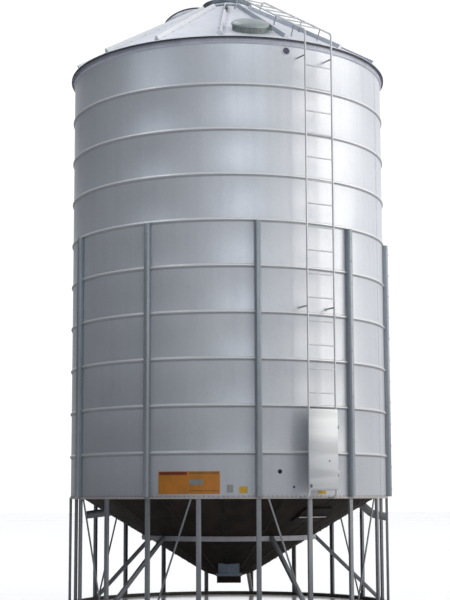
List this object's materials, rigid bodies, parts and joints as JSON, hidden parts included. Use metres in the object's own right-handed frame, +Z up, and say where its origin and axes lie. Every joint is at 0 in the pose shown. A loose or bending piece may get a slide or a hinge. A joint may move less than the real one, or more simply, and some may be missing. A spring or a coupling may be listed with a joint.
{
  "type": "grain silo",
  "caption": "Elevated cylindrical steel grain silo with a conical roof, a cone-shaped hopper on a ring of legs, an outside ladder and hinged lids for filling and inspection.",
  "frame": {"origin": "centre of the base ring's underside, on the ground", "axes": "+Z up along the silo's axis; -Y towards the front, which the sign, the labels and the ladder face; +X to the right as seen from the front"},
  "size_m": [4.5517, 4.55, 8.8027],
  "materials": {
    "galvanised_wall": "galvanised, weathered satin",
    "galvanised_roof": "galvanised, weathered satin",
    "cone_steel": "dull galvanised, in shade",
    "ring_steel": "galvanised with dust",
    "frame_steel": "galvanised satin",
    "lid_steel": "galvanised satin",
    "ladder_steel": "galvanised satin",
    "guard_sheet": "galvanised sheet, dull"
  },
  "bodies": {
    "silo": {"wall_1": "galvanised_wall", "wall_2": "galvanised_wall", "wall_3": "galvanised_wall", "wall_4": "galvanised_wall", "wall_5": "galvanised_wall", "roof_1": "galvanised_roof", "roof_2": "galvanised_roof", "roof_3": "galvanised_roof", "roof_4": "galvanised_roof", "hopper_1": "cone_steel", "hopper_2": "cone_steel", "hopper_3": "cone_steel", "hopper_4": "cone_steel", "eave_ring": "ring_steel", "bottom_ring": "ring_steel", "mid_ring": "ring_steel", "base_ring": "ring_steel", "stiffener_right_1": "frame_steel", "stiffener_right_3": "frame_steel", "stiffener_right_5": "frame_steel", "stiffener_right_7": "frame_steel", "stiffener_right_9": "frame_steel", "stiffener_left_2": "frame_steel", "stiffener_left_4": "frame_steel", "stiffener_left_6": "frame_steel", "stiffener_left_8": "frame_steel", "stiffener_left_10": "frame_steel", "leg_right_1": "frame_steel", "leg_right_2": "frame_steel", "leg_right_3": "frame_steel", "leg_right_4": "frame_steel", "leg_right_5": "frame_steel", "leg_right_6": "frame_steel", "leg_right_7": "frame_steel", "leg_right_8": "frame_steel", "leg_right_9": "frame_steel", "leg_right_10": "frame_steel", "leg_left_1": "frame_steel", "leg_left_2": "frame_steel", "leg_left_3": "frame_steel", "leg_left_4": "frame_steel", "leg_left_5": "frame_steel", "leg_left_6": "frame_steel", "leg_left_7": "frame_steel", "leg_left_8": "frame_steel", "leg_left_9": "frame_steel", "leg_left_10": "frame_steel", "top_neck": "lid_steel", "hatch_neck": "lid_steel", "ladder": "ladder_steel", "outlet_spout": "cone_steel", "clean_out_box": "frame_steel", "cone_manhole": "cone_steel", "aeration_pipe_left": "frame_steel", "aeration_pipe_right": "frame_steel"},
    "main_lid": {"main_lid": "lid_steel"},
    "hatch_lid": {"hatch_lid": "lid_steel"},
    "ladder_guard": {"ladder_guard": "guard_sheet"}
  },
  "joints": [
    {"name": "main_lid_hinge", "type": "hinge", "parent": "silo", "child": "main_lid", "pos_m": [-0.29339, 0.31025, 8.752], "axis": [0.7266, 0.6871, 0], "range_deg": [0, 200]},
    {"name": "hatch_lid_hinge", "type": "hinge", "parent": "silo", "child": "hatch_lid", "pos_m": [0.58268, -1.92229, 7.74758], "axis": [-0.1371, 0.8804, 0.454], "range_deg": [0, 100]},
    {"name": "ladder_guard_hinge", "type": "hinge", "parent": "silo", "child": "ladder_guard", "pos_m": [1.41517, -1.99213, 2.104], "axis": [0, 0, 1], "range_deg": [0, 170]}
  ]
}
